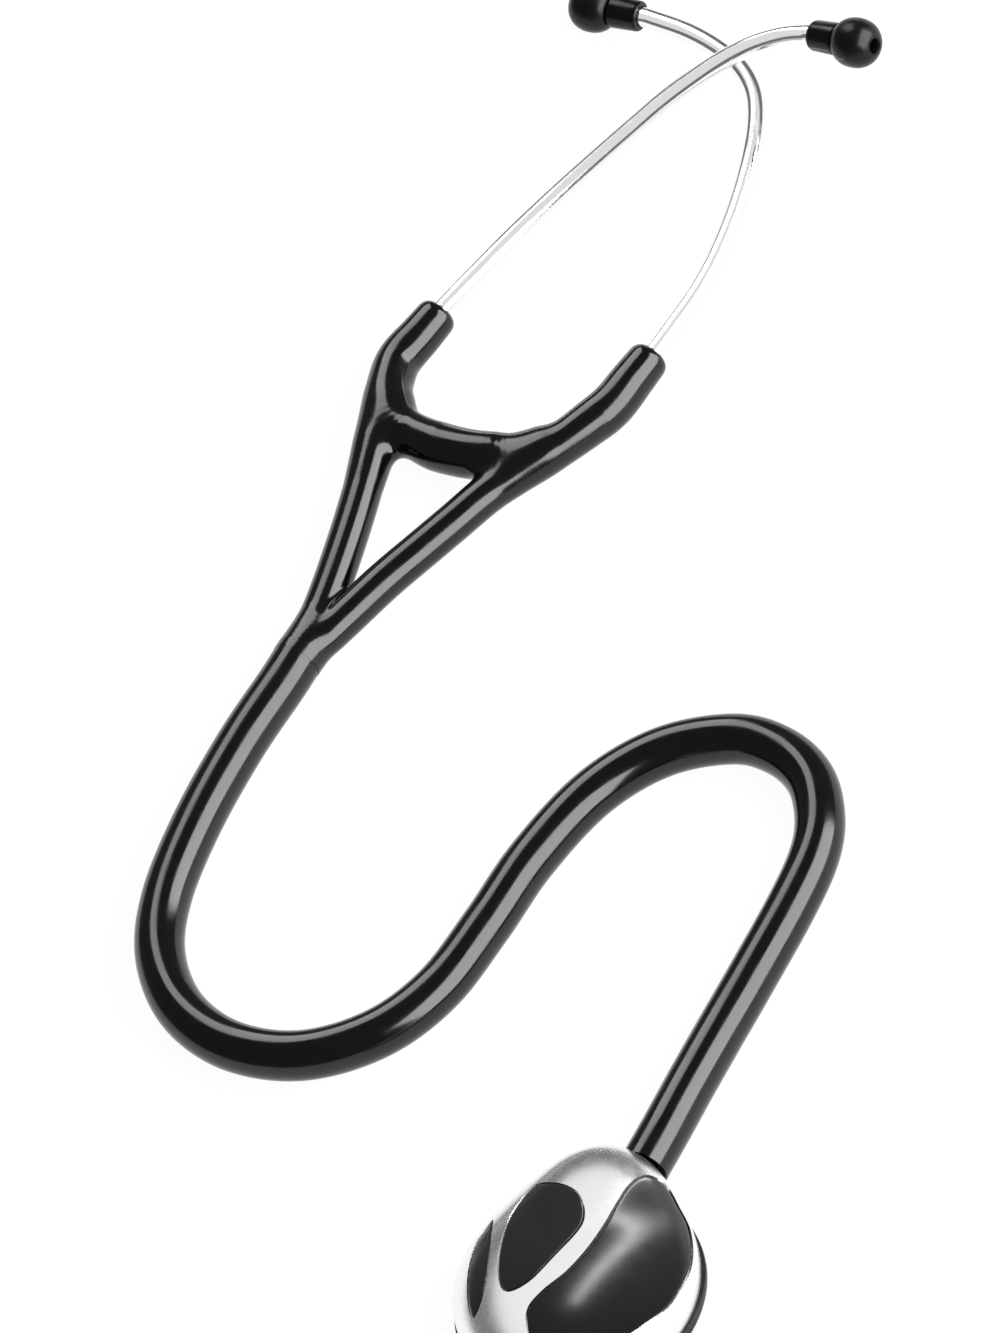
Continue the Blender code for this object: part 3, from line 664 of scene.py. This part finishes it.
HOSE_END = Vector((-72.1, 158.1, 5.0))
HOSE_END_HEADING = 64.75
SLEEVE_STRAIGHT = 14.0          # straight length behind a sleeve's mouth
SLEEVE_ROD_SETBACK = 1.5        # a sleeve's rod stops this far from the mouth, before its round end
SLEEVE_END_FILLET = 2.6
LIMB_FILLET, STEM_FILLET, BAR_FILLET = 1.2, 1.5, 4.0
STUB_REACH, SLEEVE_REACH = 16.0, 29.0
VOXEL = 0.42


def spread_radii(path, stations):
    """Radius at each point of a path from (share of its length, radius) stations."""
    total = path_length(path)
    shares = [0.0]
    for a, b in zip(path, path[1:]):
        shares.append(shares[-1] + (b - a).length / total)
    return np.interp(shares, [s for s, _ in stations], [r for _, r in stations])


def headset_rods():
    """Centre lines and radii of the moulded tubing: stem, two limbs with their sleeves, and the bar."""
    back = direction(HOSE_END_HEADING)
    stem = smooth_path([HOSE_END - back * 8.0, HOSE_END, (-70.2, 162.1, 5.0), (-68.2, 166.2, 5.0)], 1.2)
    rods = [(stem, spread_radii(stem, [(0.0, 5.0), (0.55, 5.0), (1.0, 3.9)]))]
    for side in (LEFT, RIGHT):
        end = side["mouth"] - side["axis"] * SLEEVE_ROD_SETBACK
        inner = side["mouth"] - side["axis"] * SLEEVE_STRAIGHT
        limb = smooth_path(side["limb"] + [inner, side["mouth"].lerp(inner, 0.5), end], 1.2)
        rods.append((limb, spread_radii(limb, side["radii"])))
    bar = smooth_path(YOKE_BAR, 1.2)
    rods.append((bar, spread_radii(bar, [(0.0, 3.6), (0.15, 4.2), (0.4, 5.0), (0.75, 4.9), (1.0, 3.6)])))
    return rods


def rod_distance(points, path, radii):
    """Signed distance from points to a rod with round ends."""
    best = np.full(len(points), np.inf)
    centres = np.array([list(p) for p in path])
    for a, b, ra, rb in zip(centres, centres[1:], radii, radii[1:]):
        run = b - a
        share = np.clip((points - a) @ run / (run @ run), 0.0, 1.0)
        reach = np.linalg.norm(points - a - share[:, None] * run, axis=1)
        best = np.minimum(best, reach - (ra + (rb - ra) * share))
    return best


def smooth_union(a, b, fillet):
    overlap = np.maximum(fillet - np.abs(a - b), 0.0) / fillet
    return np.minimum(a, b) - overlap * overlap * fillet / 4


def squared_end(points, value, side):
    """Ends a sleeve flat at its mouth, with a rounded edge."""
    beyond = (points - np.array(side["mouth"])) @ np.array(side["axis"])
    return -smooth_union(-value, -beyond, SLEEVE_END_FILLET)


def moulding_distance(points, rods):
    """Signed distance from points to the whole moulding."""
    stem, left, right, bar = (rod_distance(points, *rod) for rod in rods)
    left = squared_end(points, left, LEFT)
    right = squared_end(points, right, RIGHT)
    limbs = smooth_union(left, right, LIMB_FILLET)
    return smooth_union(smooth_union(stem, limbs, STEM_FILLET), bar, BAR_FILLET)


def settle(points, rods):
    """Moves points on to the moulding's surface."""
    for _ in range(3):
        value = moulding_distance(points, rods)
        slope = np.empty_like(points)
        for k in range(3):
            shift = np.zeros(3)
            shift[k] = 0.02
            slope[:, k] = (moulding_distance(points + shift, rods) - value) / 0.02
        slope /= np.maximum(np.sum(slope * slope, axis=1), 0.05)[:, None]
        points = points - slope * value[:, None]
    return points


def moulding_mesh():
    """One smooth skin round all the rods, as a bmesh in millimetres."""
    rods = headset_rods()
    blank = bmesh.new()
    for path, radii in rods:
        loops = []
        for point, run, radius in zip(path, path_runs(path), radii):
            loops.append([blank.verts.new(p) for p in ring_points(point, run, radius, 20)])
        bridge(blank, loops)
        for ring, side in ((loops[0], -1.0), (loops[-1], 1.0)):
            end = path[0] if side < 0 else path[-1]
            run = path_runs(path)[0 if side < 0 else -1]
            radius = (ring[0].co - end).length
            tip = blank.verts.new(end + run * side * radius * 0.9)
            for k in range(len(ring)):
                blank.faces.new((ring[k], ring[(k + 1) % len(ring)], tip))
    bmesh.ops.recalc_face_normals(blank, faces=blank.faces)
    mesh = bpy.data.meshes.new("moulding_blank")
    blank.to_mesh(mesh)
    blank.free()
    obj = bpy.data.objects.new("moulding_blank", mesh)
    bpy.context.scene.collection.objects.link(obj)
    remesh = obj.modifiers.new("skin", "REMESH")
    remesh.mode = "VOXEL"
    remesh.voxel_size = VOXEL
    evaluated = obj.evaluated_get(bpy.context.evaluated_depsgraph_get())
    bm = bmesh.new()
    bm.from_mesh(evaluated.to_mesh())
    bpy.data.objects.remove(obj)
    for _ in range(3):
        bmesh.ops.smooth_vert(bm, verts=bm.verts, factor=0.5, use_axis_x=True, use_axis_y=True,
                              use_axis_z=True)
        points = settle(np.array([list(v.co) for v in bm.verts]), rods)
        for vert, point in zip(bm.verts, points):
            vert.co = point
    return bm


def cut_off(bm, point, normal, centre, reach):
    """Cuts the skin near a centre by a plane, and returns the faces beyond it as a new bmesh."""
    near = [f for f in bm.faces if (f.calc_center_median() - centre).length < reach]
    edges = {e for f in near for e in f.edges}
    verts = {v for f in near for v in f.verts}
    bmesh.ops.bisect_plane(bm, geom=near + list(edges) + list(verts), plane_co=point, plane_no=normal)
    beyond = [f for f in bm.faces if (f.calc_center_median() - centre).length < reach
              and (f.calc_center_median() - point).dot(normal) > 0]
    kept = set(beyond)
    part = bm.copy()
    part.faces.ensure_lookup_table()
    bm.faces.index_update()
    inside = {f.index for f in kept}
    bmesh.ops.delete(part, geom=[f for f in part.faces if f.index not in inside], context="FACES")
    bmesh.ops.delete(bm, geom=list(kept), context="FACES")
    return part


def close_ends(bm):
    rim = [e for e in bm.edges if e.is_boundary]
    bmesh.ops.holes_fill(bm, edges=rim, sides=0)


def make_headset(material):
    """The moulded tubing beyond the hose: fixed Y and yoke, and a sleeve on each side."""
    skin = moulding_mesh()
    back = direction(HOSE_END_HEADING)
    stub = cut_off(skin, HOSE_END, -back, HOSE_END, STUB_REACH)
    stub.free()
    for side, body, name in ((LEFT, "left_arm", "left"), (RIGHT, "right_arm", "right")):
        normal = direction(side["seam_heading"])
        part = cut_off(skin, side["seam"], normal, side["mouth"], SLEEVE_REACH)
        close_ends(part)
        part.transform(Matrix.Scale(MM, 4))
        sleeve = add_piece(name + "_sleeve_grip", part, material, sharp=50.0)
        bore = rounded([(0.0, -15.6), (3.25, -15.6), (3.25, -2.9), (2.12, -2.9), (2.12, -1.0), (3.2, 1.2),
                        (3.2, 3.0), (0.0, 3.0)], 0.15)
        cut(sleeve, turned(name + "_bore", bore, side["mouth"], side["axis"], material, steps=48,
                           closed=False))
        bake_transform(sleeve)
        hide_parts(name + "_sleeve")
    close_ends(skin)
    skin.transform(Matrix.Scale(MM, 4))
    yoke = add_piece("yoke_moulding", skin, material, sharp=50.0)
    finish_piece(yoke, ROOT, "tubing", "y_junction", "left_branch", "right_branch", "yoke_cover")


EAR_TUBE_RADIUS = 2.0
EAR_TUBE_BORE = 1.3
SOCKET_REACH = 15.0
TUBE_IN_COLLAR = 5.0


def make_ear_tube(name, side, body, steel):
    mouth, axis, collar, end = side["mouth"], side["axis"], side["collar"], side["tip_axis"]
    bend = smooth_path([mouth + axis * 1.0] + side["route"] + [collar - end * 1.5], 0.8)
    foot = [mouth - axis * s for s in (SOCKET_REACH - 2.0, 8.0, 4.0, 2.0, 1.0, 0.0)]
    path = foot + bend + [collar + end * s for s in (0.0, 1.0, 3.0, TUBE_IN_COLLAR)]
    tube = sweep(name + "_tube", path, [EAR_TUBE_RADIUS] * len(path), steel, sides=48, bore=EAR_TUBE_BORE)
    finish_piece(tube, body, "steel", name + "_ear_tube")


def make_ear_tip(name, side, tube_body, tip_body, plastic, soft):
    collar = rounded([(2.1, 0.0), (2.9, 0.0), (3.1, 0.5), (3.3, 6.1), (3.0, 6.5), (2.2, 6.5), (2.2, 11.0),
                      (1.4, 11.0), (1.4, 5.3), (2.1, 5.3)],
                     [0.1, 0.3, 0.4, 0.4, 0.3, 0.1, 0.3, 0.2, 0.1, 0.1])
    piece = turned(name + "_collar", collar, side["collar"], side["tip_axis"], plastic, steps=64)
    finish_piece(piece, tube_body, "collar_plastic", name + "_tip_collar")
    outside = smooth_path([(3.3, 6.7, 0.0), (4.1, 7.4, 0.0), (4.75, 8.7, 0.0), (5.0, 10.3, 0.0),
                           (4.85, 12.0, 0.0), (4.25, 13.5, 0.0), (3.2, 14.6, 0.0), (2.2, 15.15, 0.0),
                           (1.7, 15.3, 0.0), (1.4, 15.0, 0.0)], 0.35)
    dome = [(2.4, 6.7)] + [(p.x, p.y) for p in outside] + [(1.4, 11.2), (2.4, 11.2)]
    piece = turned(name + "_bud", dome, side["collar"], side["tip_axis"], soft, steps=80)
    finish_piece(piece, tip_body, "tip_rubber", name + "_ear_tip")


# ---------------------------------------------------------------- stage

MIDDLE = Vector((-0.02, 0.13, 0.0))
INLAYS = ["oval_pad", "broad_pad", "side_pad"]
SHELL = ["chest_shell"]
TUBES = ["left_tube", "right_tube"]

# In metres: name, place by heading, pitch and distance, direction of its width, size, radiance, and
# the pieces it alone lights (INCLUDE) or is kept off (EXCLUDE).
PANELS = [
    ("side_panel", (-5.0, 28.5, 1.5), (0.0, 1.0, 0.0), (2.3, 1.4), 8.0, INLAYS, "EXCLUDE"),
    ("window_panel", (114.0, 40.0, 1.5), (-1.0, -0.4, 0.0), (0.6, 0.9), 4.5, INLAYS + SHELL, "EXCLUDE"),
    ("overhead_strip", (58.0, 50.0, 1.2), (0.0, 0.0, 1.0), (2.7, 0.14), 28.0, INLAYS, "INCLUDE"),
    ("shell_fill", (0.0, 90.0, 1.1), (1.0, 0.0, 0.0), (3.2, 3.2), 0.74, SHELL, "INCLUDE"),
    ("tube_fill", (0.0, 90.0, 1.1), (1.0, 0.0, 0.0), (3.2, 3.2), 0.6, TUBES, "INCLUDE"),
]


def add_panel(name, place, along, size, radiance):
    """Soft box facing the object, with its width along a direction and its power following its size."""
    heading, pitch, distance = place
    back = direction(heading, pitch)
    spot = MIDDLE + back * distance
    data = bpy.data.lights.new(name, "AREA")
    data.shape = "RECTANGLE"
    data.size, data.size_y = size
    data.energy = radiance * math.pi * size[0] * size[1]
    light = bpy.data.objects.new(name, data)
    bpy.context.scene.collection.objects.link(light)
    across = Vector(along)
    across = (across - back * across.dot(back)).normalized()
    rise = back.cross(across)
    light.matrix_world = Matrix((
        (across.x, rise.x, back.x, spot.x), (across.y, rise.y, back.y, spot.y),
        (across.z, rise.z, back.z, spot.z), (0.0, 0.0, 0.0, 1.0)))
    return light


def choose_receivers(light, names, state):
    """Flags a light off some pieces, or keeps it to them alone."""
    group = bpy.data.collections.new(light.name + "_receivers")
    for name in names:
        group.objects.link(bpy.data.objects[name])
    for entry in group.collection_objects:
        entry.light_linking.link_state = state
    light.light_linking.receiver_collection = group


def build_stage():
    """Plain white floor that glows a little, a dim white room and soft panels."""
    scene = bpy.context.scene
    scene.view_settings.view_transform = "Standard"
    world = bpy.data.worlds.new("room")
    world.use_nodes = True
    world.node_tree.nodes["Background"].inputs["Color"].default_value = (1.0, 1.0, 1.0, 1.0)
    world.node_tree.nodes["Background"].inputs["Strength"].default_value = 0.16
    scene.world = world
    bm = bmesh.new()
    bmesh.ops.create_grid(bm, x_segments=8, y_segments=8, size=9.0)
    material, tree, shader = material_base("paper_floor", (0.06, 0.06, 0.06), 0.9)
    shader.inputs["Specular IOR Level"].default_value = 0.0
    shader.inputs["Emission Color"].default_value = (1.0, 1.0, 1.0, 1.0)
    shader.inputs["Emission Strength"].default_value = 0.96
    floor = add_piece("floor", bm, material)
    floor.location = (0.0, 0.12, -0.0002)
    for name, place, along, size, radiance, pieces, state in PANELS:
        choose_receivers(add_panel(name, place, along, size, radiance), pieces, state)


# ---------------------------------------------------------------- everything

def main():
    add_camera()
    pvc = pvc_material()
    make_hose(pvc)
    steel = cast_steel_material()
    polished = tube_steel_material()
    gloss = inlay_material()
    rim_rubber = rubber_material("rim_rubber", (0.003, 0.003, 0.0032), 0.34, 1500.0)
    tip_rubber = rubber_material("tip_silicone", (0.002, 0.002, 0.0021), 0.30, 1200.0)
    collar_plastic = rubber_material("collar_plastic", (0.0016, 0.0016, 0.0016), 0.22, 900.0)
    make_chestpiece(steel, gloss, rim_rubber, tip_rubber, diaphragm_material())
    make_headset(pvc)
    for name, side in (("left", LEFT), ("right", RIGHT)):
        make_ear_tube(name, side, name + "_tube", polished)
        make_ear_tip(name, side, name + "_tube", name + "_tip", collar_plastic, tip_rubber)
    for node in ("yoke_spring", "left_tube_socket", "right_tube_socket"):
        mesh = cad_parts[node].data
        mesh.materials.clear()
        mesh.materials.append(polished)
    build_stage()


main()
